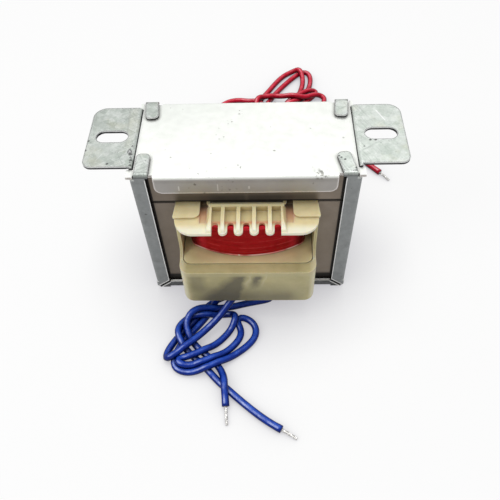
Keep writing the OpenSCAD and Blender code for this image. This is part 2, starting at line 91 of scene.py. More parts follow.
# Each lead as it was laid, in millimetres, from its slot in the bobbin to its cut end
BLUE_A = [
    (-9.4, -25.6, 12), (-9.6, -25.7, 9.8), (-10.8, -25.9, 6.8), (-12.4, -26.8, 3.8), (-13.9, -29, 1.6),
    (-16.2, -32, 1.3), (-18.8, -35.4, 1.3), (-21.6, -39.2, 1.3), (-24.2, -43, 1.3), (-26, -46.8, 1.3),
    (-25.8, -49.8, 1.3), (-23, -51.7, 1.3), (-19, -51.9, 2.4), (-14.8, -50.9, 3.7), (-10.4, -48.9, 3.7),
    (-5.9, -46, 2.4), (-1, -42.6, 1.3), (2.2, -39.4, 1.3), (3.2, -36, 1.3), (1.6, -32.6, 1.3),
    (-1.8, -30.6, 1.3), (-4.8, -30.4, 1.3), (-5.6, -32.4, 1.3), (-3.2, -34.4, 1.3), (-2, -37, 1.3),
    (-3.6, -40.4, 1.3), (-6.8, -43.6, 1.4), (-11, -46.9, 3.2), (-15.2, -49.1, 3.7), (-19.6, -50, 3.6),
    (-23.4, -49.6, 3), (-25.4, -48, 2.8), (-23.6, -46.8, 3.2), (-19.6, -46.8, 3.9), (-14.4, -44.2, 4.2),
    (-9.6, -39.9, 3.7), (-6.4, -36.2, 3.7), (-3.9, -32.8, 4.2), (-3.6, -29.9, 5.2), (-6.4, -28.9, 5.2),
    (-10.6, -29.8, 4.4), (-14.6, -30.2, 3.8), (-18.4, -30.4, 3.7), (-22, -31.4, 3.4), (-24.8, -33.8, 3.5),
    (-25.4, -37.2, 3.7), (-24.1, -40.6, 3.7), (-21.6, -43.8, 2.6), (-18.9, -46, 1.3), (-16.6, -47.8, 1.3),
    (-13.8, -50.7, 1.3), (-10.7, -54.2, 1.3), (-6.3, -58.2, 1.3), (-0.7, -63.1, 1.3), (4.2, -67.1, 1.3),
    (7.3, -69.2, 1.3), (10.1, -70.6, 1.3)]
BLUE_B = [
    (-4.7, -25.6, 12), (-4.7, -26.4, 10.6), (-6, -28.8, 9.6), (-9.6, -32.8, 8.8), (-14.6, -36.8, 8),
    (-19.4, -41.4, 7.2), (-23.6, -45, 6.2), (-26, -47.2, 4.4), (-28.1, -48, 2.8), (-28.7, -46.2, 1.6),
    (-27.4, -42.6, 1.3), (-25, -38.8, 1.3), (-22.4, -35.4, 1.3), (-19.2, -31.8, 1.3), (-16.6, -28.4, 1.3),
    (-14, -24.8, 1.3), (-10.4, -22.2, 1.3), (-5.6, -21.2, 1.3), (0.4, -20.8, 1.3), (5.2, -20, 1.3),
    (8.8, -20.4, 1.3), (8.8, -23, 1.3), (4.4, -24, 1.8), (-1, -25, 3), (-5.6, -26.2, 3.8),
    (-9.4, -27.4, 4.2), (-14, -28, 4.4), (-18.6, -29, 5), (-21.8, -31.6, 5.6), (-22.7, -34.8, 5.2),
    (-21.4, -38.4, 4.2), (-18.6, -42, 3), (-14.6, -45, 1.4), (-11.2, -47.2, 1.3), (-9, -50, 1.3),
    (-8, -53.2, 2.4), (-7.8, -56.6, 3.7), (-7.6, -59.5, 2.4), (-7.4, -63, 1.3)]
RED_A = [
    (4.7, 27.6, 43.4), (4.7, 31, 43), (4.8, 36, 40), (5, 40, 35), (5.2, 42.5, 28), (5.4, 44, 20),
    (5.6, 46, 12), (5.6, 49.5, 5.4), (5.4, 55, 1.9), (4.4, 61, 1.3), (2.6, 68, 1.3), (1.4, 75, 1.3),
    (1.6, 82, 1.3), (4.8, 89, 1.6), (7.8, 93.4, 2.4), (10.5, 98.6, 3), (13.7, 103.8, 3.4),
    (17.3, 107.8, 3.6), (21, 110, 3.6), (23.5, 108.8, 3.2), (24.9, 105, 2.4), (24.7, 99.4, 1.5),
    (23.4, 93.6, 1.3), (20.4, 86, 1.3), (15.4, 79, 1.3), (9, 76, 1.3), (3.2, 77.4, 2.4), (0.8, 81.4, 3.4),
    (2.8, 85.6, 4.2), (6.8, 87.8, 4.8), (11.2, 88.3, 5), (15.4, 87.2, 5.4), (19.4, 85.4, 5.4),
    (22.8, 84.8, 4.6), (26.8, 86.8, 2.4), (30.4, 89.4, 1.3), (33.4, 91, 1.3), (35, 88.8, 1.3),
    (33.2, 84, 1.3), (32.6, 77.6, 1.3), (34, 70.5, 1.3), (37.2, 62.5, 1.3), (41.5, 55, 1.3),
    (46, 48.4, 1.3), (50, 43.5, 1.3), (54, 39, 1.3)]
RED_B = [
    (9.4, 27.6, 43.4), (9.4, 31, 43), (9.6, 36, 40), (10, 40, 35), (10.5, 42.5, 28), (11, 44, 20),
    (11.5, 46, 12), (12, 49.5, 5.4), (12.6, 55, 1.9), (12.8, 61, 1.3), (11.8, 67, 1.3), (9, 72.6, 1.3),
    (6.8, 78, 3), (7.2, 84.4, 3.4), (9.6, 89.6, 2), (12.6, 94.2, 1.3), (15.8, 98.8, 1.3),
    (19.4, 103.4, 1.3), (22.4, 107, 1.3), (25.2, 109.4, 1.3), (27.5, 109, 1.3), (28.6, 105.4, 1.3),
    (28.2, 98.4, 1.3), (25.4, 90.4, 2.6), (20.4, 84.4, 3.2), (15.6, 80.8, 3.7), (13.2, 81.4, 4.4),
    (16.6, 84.2, 5.2), (22, 88.2, 5.2), (26.2, 91.2, 4.4), (29.6, 93.8, 3.4), (31.4, 93.9, 2.2),
    (30.6, 91, 1.4), (27, 87.2, 1.3), (22.6, 82.8, 1.3), (16.8, 80, 1.8), (9.6, 80.8, 3.2),
    (3.6, 84, 2.2), (-0.8, 86.6, 1.3), (-6.2, 88.2, 1.3), (-11.6, 87, 1.3), (-16.4, 81.6, 1.3),
    (-19.6, 74, 1.3), (-21.5, 66.5, 1.3), (-22, 60, 1.3)]

# ---------- leads ----------

# Sizes in millimetres
LEAD_D = 2.4
STRAND_D = 1.1
FLOOR_GAP = 0.05
# Length of one step along a lead
LEAD_STEP = 1.2
# How much a sleeve swells at its cut end
CUT_FLARE = 1.04
# Settling: its rounds, and how far a lead drops in one
SETTLE_ROUNDS = 400
SAG = 0.03
# Shares of the way that a point goes in a round: home, in line with its neighbours, and to its step's length
HOLD = 0.04
STIFFNESS = 0.3
PULL = 0.28
# The push between points that touch, and how it leans upright
PUSH = 0.25
PUSH_LEAN = (0.6, 0.6, 1.6)
# Points that may come to touch are looked for every few rounds, a little further out than a lead is thick
SEARCH_EVERY = 8
SEARCH_MORE = 1.5
# How often touching points are pushed apart in a round
PUSHES = 2
# Points at a lead's slot that stay where they are
HELD_POINTS = 6
# A tinned end: its rings and sides, its strands, their turn from ring to ring, its taper and its ridges
TIN_RINGS = 28
TIN_SIDES = 30
TIN_STRANDS = 5
TIN_TWIST = 0.16
TIN_TAPER = 0.86
TIN_RIDGE = 0.22
# How far back inside its sleeve the conductor starts, and how fast it droops
TIN_HIDDEN = 1.5
TIN_DROOP = 0.001


def steps_of(line):
    """The length of each step of a line."""
    return np.linalg.norm(np.diff(line, axis=0), axis=1)


def running(steps):
    """The running total of some steps, from nothing."""
    return np.concatenate([[0], np.cumsum(steps)])


def mix(s, start, end, a, b):
    """The way from a at time start to b at time end."""
    return (end - s) / (end - start) * a + (s - start) / (end - start) * b


def stretch(points, times, count=24):
    """A smooth stretch between the middle two of four points."""
    s = np.linspace(times[1], times[2], count, endpoint=False)[:, None]
    a = [mix(s, times[j], times[j + 1], points[j], points[j + 1]) for j in range(3)]
    b = [mix(s, times[j], times[j + 2], a[j], a[j + 1]) for j in range(2)]
    return mix(s, times[1], times[2], *b)


def flow(knots):
    """A smooth line through given points, in even steps."""
    k = np.array(knots, float)
    k = np.vstack([2 * k[0] - k[1], k, 2 * k[-1] - k[-2]])
    times = running(steps_of(k) ** 0.5)
    stretches = [stretch(k[i:i + 4], times[i:i + 4]) for i in range(len(k) - 3)]
    line = np.vstack(stretches + [k[-2][None]])
    along = running(steps_of(line))
    even = np.linspace(0, along[-1], int(round(along[-1] / LEAD_STEP)) + 1)
    return np.stack([np.interp(even, along, line[:, axis]) for axis in range(3)], 1)


def pairs_to_watch(lead_of):
    """Every two points that may come to touch, bar near neighbours on one lead."""
    near_along = int(np.ceil(1.6 * LEAD_D / LEAD_STEP))
    i, j = np.triu_indices(len(lead_of), 1)
    apart = (lead_of[i] != lead_of[j]) | (np.abs(i - j) > near_along)
    return i[apart], j[apart]


def push_apart(at, a, b):
    """How far points that touch move to clear each other, mostly up or down."""
    gap = at[b] - at[a]
    far = np.linalg.norm(gap, axis=1)
    hit = far < LEAD_D
    away = gap[hit] * PUSH_LEAN
    away /= np.maximum(np.linalg.norm(away, axis=1), 1e-6)[:, None]
    push = away * ((LEAD_D - far[hit]) * PUSH)[:, None]
    move = np.zeros_like(at)
    count = np.zeros(len(at))
    np.add.at(move, a[hit], -push)
    np.add.at(move, b[hit], push)
    np.add.at(count, a[hit], 1)
    np.add.at(count, b[hit], 1)
    return move / np.sqrt(np.maximum(count, 1))[:, None]


def keep_length(at, step_starts):
    """How far points move so that each step goes back to its length."""
    run = at[step_starts + 1] - at[step_starts]
    long = np.linalg.norm(run, axis=1)
    pull = run * (PULL * (long - LEAD_STEP) / long)[:, None]
    move = np.zeros_like(at)
    np.add.at(move, step_starts, pull)
    np.add.at(move, step_starts + 1, -pull)
    return move


def settle(lines):
    """Let leads sag on to the floor and on to each other, keeping their length and thickness."""
    counts = [len(line) for line in lines]
    at = np.vstack(lines)
    home = at.copy()
    lead_of = np.repeat(np.arange(len(lines)), counts)
    last = np.cumsum(counts) - 1
    first = np.concatenate([[0], last[:-1] + 1])
    free = np.ones(len(at), bool)
    for start in first:
        free[start:start + HELD_POINTS] = False
    inner = free.copy()
    inner[last] = False
    mid = np.where(inner)[0]
    step_starts = np.where(lead_of[:-1] == lead_of[1:])[0]
    i, j = pairs_to_watch(lead_of)
    for n in range(SETTLE_ROUNDS):
        if n % SEARCH_EVERY == 0:
            close = np.linalg.norm(at[i] - at[j], axis=1) < LEAD_D + SEARCH_MORE
            a, b = i[close], j[close]
        at[free, 2] -= SAG
        for _ in range(PUSHES):
            at[free] += push_apart(at, a, b)[free]
            at[mid] += ((at[mid - 1] + at[mid + 1]) / 2 - at[mid]) * STIFFNESS
            at[free] += keep_length(at, step_starts)[free]
        at[free, :2] += (home - at)[free, :2] * HOLD
        at[:, 2] = np.maximum(at[:, 2], LEAD_D / 2 + FLOOR_GAP)
    return [at[start:end + 1] for start, end in zip(first, last)]


def add_mesh(name, verts, faces):
    """A smooth mesh piece that belongs to the part's one body, from places in metres."""
    mesh = bpy.data.meshes.new(name)
    mesh.from_pydata(verts, [], faces)
    mesh.shade_smooth()
    made = bpy.data.objects.new(name, mesh)
    scene.collection.objects.link(made)
    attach(made, "root")
    return made


def round_angles(sides):
    """Even steps round a circle, in radians."""
    return [2 * math.pi * s / sides for s in range(sides)]


def skin(rings, sides, start=0):
    """Faces that join rings of points, each ring to the next."""
    faces = []
    for r in range(rings - 1):
        low = start + r * sides
        high = low + sides
        faces += [(low + s, low + (s + 1) % sides, high + (s + 1) % sides, high + s) for s in range(sides)]
    return faces


def hose(name, path, radius, sides=16, strands=0, twist=0.0):
    """A mesh tube along a path in millimetres; strands give it that many twisted ridges."""
    path = np.asarray(path, float)
    ahead = np.gradient(path, axis=0)
    ahead /= np.linalg.norm(ahead, axis=1)[:, None]
    side = np.cross(ahead[0], (0.3, 0.5, 0.8))
    verts = []
    for k, (centre, along, r) in enumerate(zip(path, ahead, np.broadcast_to(radius, len(path)))):
        side = side - along * side.dot(along)
        side /= np.linalg.norm(side)
        up = np.cross(along, side)
        for a in round_angles(sides):
            ridge = 1 - TIN_RIDGE * abs(math.cos(strands / 2 * a)) if strands else 1
            a += twist * k
            verts.append(tuple((centre + r * ridge * (math.cos(a) * side + math.sin(a) * up)) * MM))
    first_end = tuple(range(sides))[::-1]
    last_end = tuple((len(path) - 1) * sides + s for s in range(sides))
    return add_mesh(name, verts, skin(len(path), sides) + [first_end, last_end])


def tinned_end(name, path, length, node):
    """The stripped conductor that goes on from a lead's cut end, drooping to the floor."""
    tip = path[-1]
    way = path[-1] - path[-2]
    way = way / np.linalg.norm(way)
    bare = [tip + way * s for s in np.linspace(-TIN_HIDDEN, length, TIN_RINGS)]
    for k, p in enumerate(bare):
        p[2] = max(p[2] - TIN_DROOP * k * k, STRAND_D / 2 + FLOOR_GAP)
    radius = STRAND_D / 2 * np.linspace(1, TIN_TAPER, TIN_RINGS)
    end = hose(name, bare, radius, TIN_SIDES, strands=TIN_STRANDS, twist=TIN_TWIST)
    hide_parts(node)
    return end


def lay_leads(colour, runs, tails, stripped):
    """Both leads of one winding, settled together, with their stripped ends."""
    for letter, path, tail, bare in zip("ab", settle([flow(run) for run in runs]), tails, stripped):
        swell = np.ones(len(path))
        swell[-2:] = CUT_FLARE
        lead = hose(f"{colour}_lead_{letter}_sleeve", path, LEAD_D / 2 * swell)
        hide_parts(f"{colour}_lead_{letter}", f"{colour}_hank", f"{colour}_tail_{tail}")
        end = tinned_end(f"{colour}_tinned_{tail}", path, bare, f"{colour}_end_{tail}")


lay_leads("blue", (BLUE_A, BLUE_B), "ba", (5.4, 6))
lay_leads("red", (RED_A, RED_B), "ab", (5.2, 5.2))

# ---------- node work ----------

# Past any place on this object, for a band that is open on one side
FAR = 99


def put(tree, kind, inputs=(), **settings):
    """A shader node with its settings; each input takes a plain value or another node's output."""
    made = tree.nodes.new(kind)
    for key, value in settings.items():
        setattr(made, key, value)
    for key, value in dict(inputs).items():
        if isinstance(value, bpy.types.NodeSocket):
            tree.links.new(value, made.inputs[key])
        else:
            made.inputs[key].default_value = value
    return made


def calc(tree, kind, a, b=0.0, c=0.0):
    """Arithmetic on plain values."""
    return put(tree, "ShaderNodeMath", {0: a, 1: b, 2: c}, operation=kind).outputs[0]


def vector(tree, kind, *parts, out="Vector", **named):
    """Arithmetic on vectors; Scale is given by name."""
    return put(tree, "ShaderNodeVectorMath", {**dict(enumerate(parts)), **named}, operation=kind).outputs[out]


def ramp(tree, value, low, high, to_low=0.0, to_high=1.0):
    """A value stretched from one range to another and held at both ends."""
    inputs = {"Value": value, "From Min": low, "From Max": high, "To Min": to_low, "To Max": to_high}
    return put(tree, "ShaderNodeMapRange", inputs).outputs[0]


def blend(tree, share, under, over, kind="MIX"):
    """One colour over another by a share."""
    made = put(tree, "ShaderNodeMix", {0: share, 6: under, 7: over}, data_type="RGBA", blend_type=kind)
    return made.outputs[2]


def effect(name, ins, outs):
    """A node group with named inputs and outputs; an input without a value takes a vector."""
    group = bpy.data.node_groups.new(name, "ShaderNodeTree")
    for key, value in ins.items():
        kind = "NodeSocketVector" if value is None else "NodeSocketFloat"
        socket = group.interface.new_socket(key, in_out="INPUT", socket_type=kind)
        if value is not None:
            socket.default_value = value
    for key in outs:
        group.interface.new_socket(key, in_out="OUTPUT", socket_type="NodeSocketFloat")
    return group, group.nodes.new("NodeGroupInput").outputs, group.nodes.new("NodeGroupOutput").inputs


def use(tree, group, **inputs):
    """Place a node group in a material and hand back its first output."""
    return put(tree, "ShaderNodeGroup", inputs, node_tree=group).outputs[0]


def make_uneven():
    """Cloudy variation between two values."""
    group, get, give = effect("uneven", {"Point": None, "Scale": 1.0, "Low": 0.0, "High": 1.0}, ["Value"])
    noise = put(group, "ShaderNodeTexNoise", {"Vector": get["Point"], "Scale": get["Scale"], "Detail": 5.0,
                                              "Roughness": 0.62})
    spread = ramp(group, noise.outputs["Fac"], 0.32, 0.68, get["Low"], get["High"])
    group.links.new(spread, give["Value"])
    return group


def make_band():
    """One between two values, with soft borders."""
    group, get, give = effect("band", {"Value": 0.0, "Low": 0.0, "High": 1.0, "Soft": 0.2}, ["Mask"])
    half = calc(group, "MULTIPLY", get["Soft"], 0.5)
    low_end = [calc(group, kind, get["Low"], half) for kind in ("SUBTRACT", "ADD")]
    high_end = [calc(group, kind, get["High"], half) for kind in ("SUBTRACT", "ADD")]
    rise = ramp(group, get["Value"], *low_end)
    fall = ramp(group, get["Value"], *high_end, 1.0, 0.0)
    group.links.new(calc(group, "MULTIPLY", rise, fall), give["Mask"])
    return group


def make_specked():
    """Small scattered spots, each in a cell of its own."""
    group, get, give = effect("specked", {"Point": None, "Scale": 1.0, "Size": 0.2, "Share": 0.1}, ["Mask"])
    shake = put(group, "ShaderNodeTexNoise", {"Vector": get["Point"], "Scale": 2.2, "Detail": 2.0})
    moved = vector(group, "MULTIPLY_ADD", shake.outputs["Color"], (0.9, 0.9, 0.9), get["Point"])
    cells = put(group, "ShaderNodeTexVoronoi", {"Vector": moved, "Scale": get["Scale"]})
    pick = put(group, "ShaderNodeSeparateColor", {"Color": cells.outputs["Color"]})
    chosen = calc(group, "LESS_THAN", pick.outputs[0], get["Share"])
    reach = calc(group, "MULTIPLY", get["Size"], calc(group, "MULTIPLY_ADD", pick.outputs[1], 0.8, 0.4))
    spot = ramp(group, cells.outputs["Distance"], calc(group, "MULTIPLY", reach, 0.55), reach, 1.0, 0.0)
    group.links.new(calc(group, "MULTIPLY", spot, chosen), give["Mask"])
    return group


def make_scratched():
    """Fine straight scratches that all run one way."""
    group, get, give = effect("scratched", {"Point": None, "Scale": 1.0, "Turn": 0.0, "Share": 0.1}, ["Mask"])
    turned = put(group, "ShaderNodeVectorRotate", {"Vector": get["Point"], "Angle": get["Turn"]},
                 rotation_type="Z_AXIS")
    drawn = vector(group, "MULTIPLY", turned.outputs[0], (0.06, 1.6, 0.9))
    noise = put(group, "ShaderNodeTexNoise", {"Vector": drawn, "Scale": get["Scale"], "Detail": 2.0})
    edge = calc(group, "SUBTRACT", 0.74, calc(group, "MULTIPLY", get["Share"], 0.3))
    line = ramp(group, noise.outputs["Fac"], edge, calc(group, "ADD", edge, 0.05))
    group.links.new(line, give["Mask"])
    return group


def make_near_edges():
    """One along edges, for painted highlights there and for wear."""
    group, get, give = effect("rubbed", {"Radius": 0.0004, "Sharpness": 3.0}, ["Mask"])
    plain = put(group, "ShaderNodeNewGeometry")
    rounded = put(group, "ShaderNodeBevel", {"Radius": get["Radius"]}, samples=6)
    same = vector(group, "DOT_PRODUCT", plain.outputs["Normal"], rounded.outputs[0], out="Value")
    off = calc(group, "MULTIPLY", calc(group, "SUBTRACT", 1.0, same), get["Sharpness"])
    group.links.new(calc(group, "MINIMUM", off, 1.0), give["Mask"])
    return group


def make_nooks():
    """One in the corners where shade falls, for painted shade."""
    group, get, give = effect("nooks", {"Reach": 0.003, "Strength": 1.0}, ["Mask"])
    shade = put(group, "ShaderNodeAmbientOcclusion", {"Distance": get["Reach"]}, samples=8)
    deep = calc(group, "MULTIPLY", calc(group, "SUBTRACT", 1.0, shade.outputs["AO"]), get["Strength"])
    group.links.new(calc(group, "MINIMUM", deep, 1.0), give["Mask"])
    return group


def make_stroke():
    """One single mark, from one place to another."""
    group, get, give = effect("stroke", {"Point": None, "Start": None, "End": None, "Reach": 0.3}, ["Mask"])
    from_start = vector(group, "SUBTRACT", get["Point"], get["Start"])
    run = vector(group, "SUBTRACT", get["End"], get["Start"])
    along = vector(group, "DOT_PRODUCT", from_start, run, out="Value")
    whole = vector(group, "DOT_PRODUCT", run, run, out="Value")
    part = put(group, "ShaderNodeClamp", {0: calc(group, "DIVIDE", along, whole)}).outputs[0]
    nearest = vector(group, "SCALE", run, Scale=part)
    off = vector(group, "DISTANCE", from_start, nearest, out="Value")
    mark = ramp(group, off, calc(group, "MULTIPLY", get["Reach"], 0.5), get["Reach"], 1.0, 0.0)
    group.links.new(mark, give["Mask"])
    return group


UNEVEN = make_uneven()
BAND = make_band()
SPECKED = make_specked()
SCRATCHED = make_scratched()
NEAR_EDGES = make_near_edges()
NOOKS = make_nooks()
STROKE = make_stroke()


def rgba(value):
    """A plain colour as four numbers; a grey can be one number, and a node's output stays as it is."""
    if isinstance(value, bpy.types.NodeSocket):
        return value
    if isinstance(value, (int, float)):
        value = (value,) * 3
    return (*value, 1.0)


class Finish:
    """A material under way: its main shader, its colour so far and the surface's place in millimetres."""

    def __init__(self, name, **plain):
        self.material = bpy.data.materials.new(name)
        self.material.use_nodes = True
        self.tree = self.material.node_tree
        self.main = self.tree.nodes["Principled BSDF"]
        self.base = None
        for key, value in plain.items():
            self.main.inputs[key.replace("_", " ")].default_value = value
        spot = put(self.tree, "ShaderNodeTexCoord").outputs
        self.point = vector(self.tree, "SCALE", spot["Object"], Scale=1 / MM)
        self.x, self.y, self.z = put(self.tree, "ShaderNodeSeparateXYZ", {0: self.point}).outputs
        self.ax = self.size_of(self.x)
        self.ay = self.size_of(self.y)
        self.nx, self.ny, self.nz = put(self.tree, "ShaderNodeSeparateXYZ", {0: spot["Normal"]}).outputs

    def calc(self, kind, a, b=0.0, c=0.0):
        return calc(self.tree, kind, a, b, c)

    def size_of(self, value):
        """A value without its sign."""
        return self.calc("ABSOLUTE", value)

    def every(self, *masks):
        """Where all of the masks are."""
        made = masks[0]
        for mask in masks[1:]:
            made = self.calc("MULTIPLY", made, mask)
        return made

    def some(self, *masks):
        """Where any of the masks is."""
        made = masks[0]
        for mask in masks[1:]:
            made = self.calc("MAXIMUM", made, mask)
        return made

    def outside(self, mask):
        """Where a mask is not."""
        return self.calc("SUBTRACT", 1.0, mask)

    def weaken(self, mask, share):
        """A mask at a share of its strength."""
        return self.calc("MULTIPLY", mask, share)

    def swing(self, mask, off, on):
        """One value outside a mask and another on it."""
        return self.calc("MULTIPLY_ADD", mask, on - off, off)

    def effect(self, group, **inputs):
        return use(self.tree, group, **inputs)

    def band(self, value, low, high, soft=0.2):
        return self.effect(BAND, Value=value, Low=low, High=high, Soft=soft)

    def above(self, value, low, soft=0.2):
        return self.band(value, low, FAR, soft)

    def below(self, value, high, soft=0.2):
        return self.band(value, -FAR, high, soft)

    def uneven(self, scale, low=0.0, high=1.0):
        return self.effect(UNEVEN, Point=self.point, Scale=scale, Low=low, High=high)

    def specked(self, scale, size, share):
        return self.effect(SPECKED, Point=self.point, Scale=scale, Size=size, Share=share)

    def scratched(self, scale, turn, share):
        return self.effect(SCRATCHED, Point=self.point, Scale=scale, Turn=math.radians(turn), Share=share)

    def rubbed(self, radius, sharpness):
        return self.effect(NEAR_EDGES, Radius=radius * MM, Sharpness=sharpness)

    def nooks(self, reach, strength):
        return self.effect(NOOKS, Reach=reach * MM, Strength=strength)

    def strokes(self, seen_from, marks):
        """Single marks on a flat face; seen_from leaves out the axis that the face looks along."""
        flat = vector(self.tree, "MULTIPLY", self.point, seen_from)
        return self.some(*(self.effect(STROKE, Point=flat, Start=start, End=end, Reach=reach)
                           for start, end, reach in marks))

    def over(self, share, under, over, kind="MIX"):
        """One colour over another by a share, apart from the colour so far."""
        return blend(self.tree, share, rgba(under), rgba(over), kind)

    def ground(self, scale, one, other):
        """Start the colour as a cloudy mix of two."""
        self.base = self.over(self.uneven(scale), one, other)

    def paint(self, where, tint, share=1.0, kind="MIX"):
        """Lay a colour over the colour so far, where a mask is, at a share of its strength."""
        if share != 1.0:
            where = self.weaken(where, share)
        self.base = self.over(where, self.base, tint, kind)

    def shade(self, where, strength, share=1.0):
        """Darken or lighten the colour so far, so that its pattern stays."""
        self.paint(where, strength, share, "MULTIPLY")

    def feed(self, socket, value):
        self.tree.links.new(value, self.main.inputs[socket])

    def done(self, rough, height, depth, strength):
        """Feed the main shader; the height counts in depth, in millimetres."""
        self.feed("Base Color", self.base)
        self.feed("Roughness", rough)
        inputs = {"Height": height, "Distance": depth * MM, "Strength": strength}
        self.feed("Normal", put(self.tree, "ShaderNodeBump", inputs).outputs[0])
        return self.material

# ---------- sizes taken from the frame, in millimetres ----------

def corners_of(node):
    """The lowest and the highest corner of a CAD node."""
    return [[v / MM for v in corner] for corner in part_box(node)]


CORE_LOW, CORE_HIGH = corners_of("e_laminations")
SHROUD_LOW, SHROUD_HIGH = corners_of("shroud")
BOBBIN_X = corners_of("bobbin")[1][0]
TAPE_LOW = corners_of("primary_tape")[0][2]
LIP_Y, FOOT_TOP = corners_of("bracket")[1][1:]
PLATE_TOP = corners_of("clamp_plate")[1][2]
FACE_Y = CORE_HIGH[1]
# The bracket's sheet lies under the core and up its sides, and its lips are folded in over both faces
SHEET_T = CORE_LOW[2]
WALL_X = CORE_HIGH[0] + SHEET_T
LIP_IN = WALL_X - 4.7
LOW_LIP = 3.4
# The mitre between an upright lip and the low one: where it meets the floor, and its slope
MITRE_X = WALL_X - 0.5
MITRE_SLOPE = math.radians(40)
# Half the middle leg's width, which is also the height of an I sheet, and the butt joint of E and I sheets
LEG_X = CORE_HIGH[0] / 3
JOINT_Z = CORE_HIGH[2] - LEG_X + 0.2
# The foot of the bobbin's comb, and the shroud's rim with the seam about it
COMB_FOOT = 41.5
SHROUD_RIM = 26
SEAM_LOW = SHROUD_RIM - 2
SEAM_HIGH = SHROUD_RIM + 1.6
# Where the tape's bowed face turns back towards the core
TAPE_BEND = 15.6
# The edges of the tape's turns, where painted highlights go: height, width and softness
LIT_TURN_EDGES = ((30.3, 0.3, 0.3), (32.3, 0.5, 0.4), (35.2, 0.4, 0.4))

# ---------- marks of wear ----------

# Where the plating is worn through: the place on the plate and the reach of each patch
WORN_PATCHES = (
    (22.1, -16, 1.7), (-1.6, -13.4, 1.4), (-3, 12.4, 1.6), (-4.4, 6.5, 1.2), (-8, 0.6, 1.2),
    (8.1, -5.4, 1.2), (-14, -16.2, 2.4), (27, 5.1, 0.6), (-5, -15.6, 2))
# Dark marks on the feet and tabs: the place and the reach of each
DARK_SPOTS = (
    (-34.3, -7.9, 0.7), (-33.95, -10.3, 0.5), (-33.9, -12.4, 0.45), (-47.9, -1.9, 0.4), (-48.2, -6, 0.5),
    (-40.7, -11.8, 0.45), (37.2, -3, 0.45), (38.8, -3, 0.45), (28, -10.3, 0.35), (29, -11.1, 0.4),
    (32, -14.6, 0.5), (27.4, -9.6, 0.3))
# Single marks, each from one place to another with its reach, and the axes they are drawn in
FROM_ABOVE = (1, 1, 0)
FROM_FRONT = (1, 0, 1)
DARK_MARKS = [((x, y, 0), (x + 0.15, y + 0.1, 0), reach) for x, y, reach in DARK_SPOTS]
CREASE = [((-36.9, 12, 0), (-36.2, -4.4, 0), 0.35)]
LIGHT_SCRATCH = [((40.5, 10.6, 0), (42.8, 5.8, 0), 0.22)]
FLANGE_NICKS = [
    ((-19.7, 0, 53.3), (-19.7, 0, 51.7), 0.25), ((-8.2, 0, 54), (-8.2, 0, 51.5), 0.22),
    ((1, 0, 53), (1, 0, 52.3), 0.35)]
# Beads of spilt zinc on the left foot's inner edge: place, reach across, reach along, height
ZINC_BEADS = (
    (-34.6, -6.6, 0.75, 1.1, 0.42), (-34.05, -4.4, 0.32, 0.5, 0.25), (-34, -9.2, 0.36, 0.45, 0.3),
    (-33.95, -11.2, 0.28, 0.4, 0.22), (-34.1, -13.3, 0.3, 0.35, 0.2))

# ---------- the bracket's zinc ----------

def zinc_ground(f, up):
    """Spangled grey zinc, with painted light: faces that look up are painted paler and faintly yellow,
    upright faces grey.
    """
    f.ground(0.3, (0.47, 0.515, 0.475), (0.60, 0.64, 0.60))
    f.paint(f.uneven(0.12, -0.6, 0.5), (0.53, 0.54, 0.43))
    f.shade(f.above(f.x, 10, 20), 1.2)
    f.shade(f.below(f.x, -WALL_X, 1), 0.94)
    by_left_fold = f.every(f.band(f.x, -36.6, -34.2, 1.4), f.band(f.y, -5, 14, 3))
    f.paint(by_left_fold, (0.60, 0.61, 0.50), share=0.28)
    # Painted shade: upright faces get a darker grey than the faces that look up.
    grey = f.over(f.uneven(0.3), (0.22, 0.23, 0.23), (0.27, 0.282, 0.282))
    f.base = f.over(up, grey, f.base)
    flowers = put(f.tree, "ShaderNodeTexVoronoi", {"Vector": f.point, "Scale": 0.55, "Randomness": 1.0})
    spangle = put(f.tree, "ShaderNodeSeparateColor", {"Color": flowers.outputs["Color"]}).outputs[0]
    f.paint(f.swing(up, 0.04, 0.16), f.over(spangle, 0.05, 1.0), kind="OVERLAY")
    f.shade(f.every(f.uneven(1.6), f.swing(up, 0.12, 0.52)), 0.7)
    f.shade(f.every(f.uneven(2.4), up), 0.8, share=0.32)


def zinc_scratches(f, up):
    """Fine crossed scratches on the tops, the dark ones thinner far from the walls."""
    near_wall = f.swing(f.below(f.ax, WALL_X + 5, 4), 0.25, 1.0)
    dark = f.every(f.some(f.scratched(1.5, 62, 0.55), f.scratched(1.3, -30, 0.5)), near_wall, up)
    light = f.every(f.some(f.scratched(2.6, 38, 0.36), f.scratched(2.2, -62, 0.26)), up)
    f.paint(dark, (0.2, 0.22, 0.21), share=0.28)
    f.paint(light, 0.85, share=0.22)


def zinc_wear(f):
    """Painted shade on the folds at the tabs' roots, edges painted bright as partly wear and partly painted
    highlight, and scattered dark spots.
    """
    fold = f.every(f.above(f.ay, FACE_Y - 0.35), f.above(f.z, PLATE_TOP - 1))
    # Painted shade on the curve of the folds.
    f.shade(f.every(fold, f.band(f.nz, 0.1, 0.98, 0.1)), 0.55)
    # Edges painted bright: partly wear, partly painted highlight.
    worn = f.every(f.rubbed(0.6, 2.5), f.swing(fold, 0.8, 0.0))
    f.paint(f.calc("MINIMUM", f.weaken(worn, 1.6), 0.9), 0.95)
    f.paint(f.some(f.specked(0.45, 0.2, 0.08), f.specked(1.3, 0.22, 0.06)), 0.05, share=0.7)


